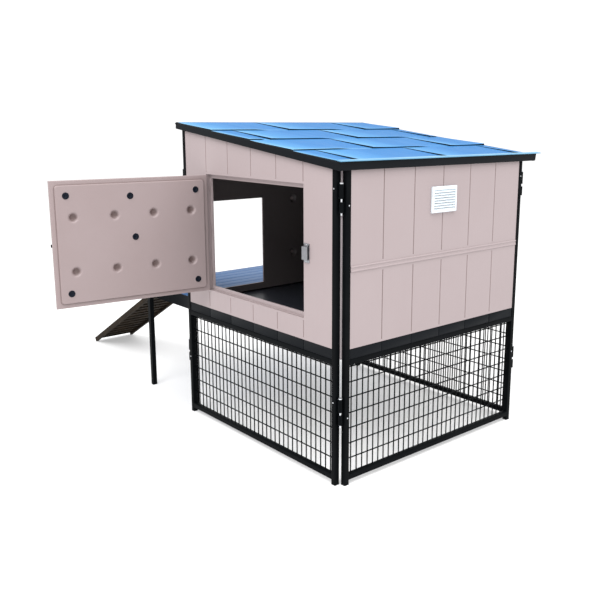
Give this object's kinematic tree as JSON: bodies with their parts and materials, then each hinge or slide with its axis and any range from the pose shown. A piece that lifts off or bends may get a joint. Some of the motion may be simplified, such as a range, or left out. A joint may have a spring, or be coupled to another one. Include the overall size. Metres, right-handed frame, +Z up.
{
  "type": "chicken coop",
  "caption": "Raised chicken coop: moulded house on a tube frame over a mesh run, with a tiled pent roof, hinged access door, louvre vent, pop door, deck and ramp.",
  "frame": {"origin": "centre of the stored object's box, on the ground", "axes": "+X from the ramp and deck towards the vent side, +Y from the access door side to the back, +Z up"},
  "size_m": [2.945, 2.1486, 1.5914],
  "materials": {
    "frame_black": "black powder coat, satin",
    "wall_plastic": "pale pink-beige moulded plastic, fine grain",
    "black_plastic": "black moulded plastic",
    "roof_tile": "blue slate-look tile with black edges, satin gloss",
    "deck_plastic": "blue-grey grooved plastic",
    "zinc_steel": "bright zinc plate",
    "vent_white": "white moulded plastic",
    "roost_wood": "planed softwood"
  },
  "bodies": {
    "house": {"door_side_frame": "frame_black", "vent_side_frame": "frame_black", "back_side_frame": "frame_black", "deck_side_frame": "frame_black", "foot_caps": "black_plastic", "corner_pins": "zinc_steel", "lug_bolts": "zinc_steel", "door_side_mesh": "frame_black", "vent_side_mesh": "frame_black", "back_side_mesh": "frame_black", "door_wall": "wall_plastic", "vent_wall": "wall_plastic", "back_wall": "wall_plastic", "deck_wall": "wall_plastic", "skirt_boards": "black_plastic", "corner_strips": "wall_plastic", "floor_panel": "black_plastic", "floor_bearers": "frame_black", "bearer_brackets": "frame_black", "bearer_bolts": "zinc_steel", "roof_board": "black_plastic", "front_rake_trim": "black_plastic", "back_rake_trim": "black_plastic", "ridge_trim": "black_plastic", "eave_trim": "black_plastic", "tile_course_1": "roof_tile", "tile_course_2": "roof_tile", "tile_course_3": "roof_tile", "tile_course_4": "roof_tile", "roof_pins": "black_plastic", "door_hinge_wall_leaves": "zinc_steel", "door_hinge_pins": "zinc_steel", "keeper": "zinc_steel", "vent_frame": "vent_white", "vent_slats": "vent_white", "pop_hinge_wall_leaves": "zinc_steel", "pop_hinge_pins": "zinc_steel", "wall_screws": "zinc_steel", "deck_frame": "frame_black", "deck_legs": "frame_black", "deck_top": "deck_plastic", "deck_fascia": "black_plastic", "ramp_ears": "frame_black", "ramp_rod": "zinc_steel", "roost_bar": "roost_wood", "roost_cups": "black_plastic"},
    "door": {"door_leaf": "wall_plastic", "door_plugs": "black_plastic", "door_hinge_door_leaves": "zinc_steel", "latch_body": "black_plastic", "latch_screws": "zinc_steel"},
    "latch_bolt": {"latch_tongue": "frame_black", "latch_knob": "black_plastic"},
    "pop_door": {"pop_door_leaf": "wall_plastic", "pop_hinge_door_leaves": "zinc_steel"},
    "button": {"turn_button": "black_plastic"},
    "ramp": {"ramp_board": "black_plastic", "ramp_rails": "black_plastic", "ramp_cleats": "black_plastic"}
  },
  "joints": [
    {"name": "door_swing", "type": "hinge", "parent": "house", "child": "door", "pos_m": [0.41762, -0.2977, 1.0335], "axis": [0, 0, -1], "range_deg": [-97, 20]},
    {"name": "latch_slide", "type": "slide", "parent": "door", "child": "latch_bolt", "axis": [-0.1219, -0.9925, 0], "range_m": [0, 0.027]},
    {"name": "pop_door_swing", "type": "hinge", "parent": "house", "child": "pop_door", "pos_m": [0.16312, -0.1592, 0.9185], "axis": [0, 0, 1], "range_deg": [-100, 10]},
    {"name": "button_turn", "type": "hinge", "parent": "house", "child": "button", "pos_m": [0.16512, 0.2533, 0.9185], "axis": [-1, 0, 0], "range_deg": [0, 90]},
    {"name": "ramp_lift", "type": "hinge", "parent": "house", "child": "ramp", "pos_m": [-0.37788, 0.0393, 0.622], "axis": [0, 1, 0], "range_deg": [0, 118]}
  ]
}
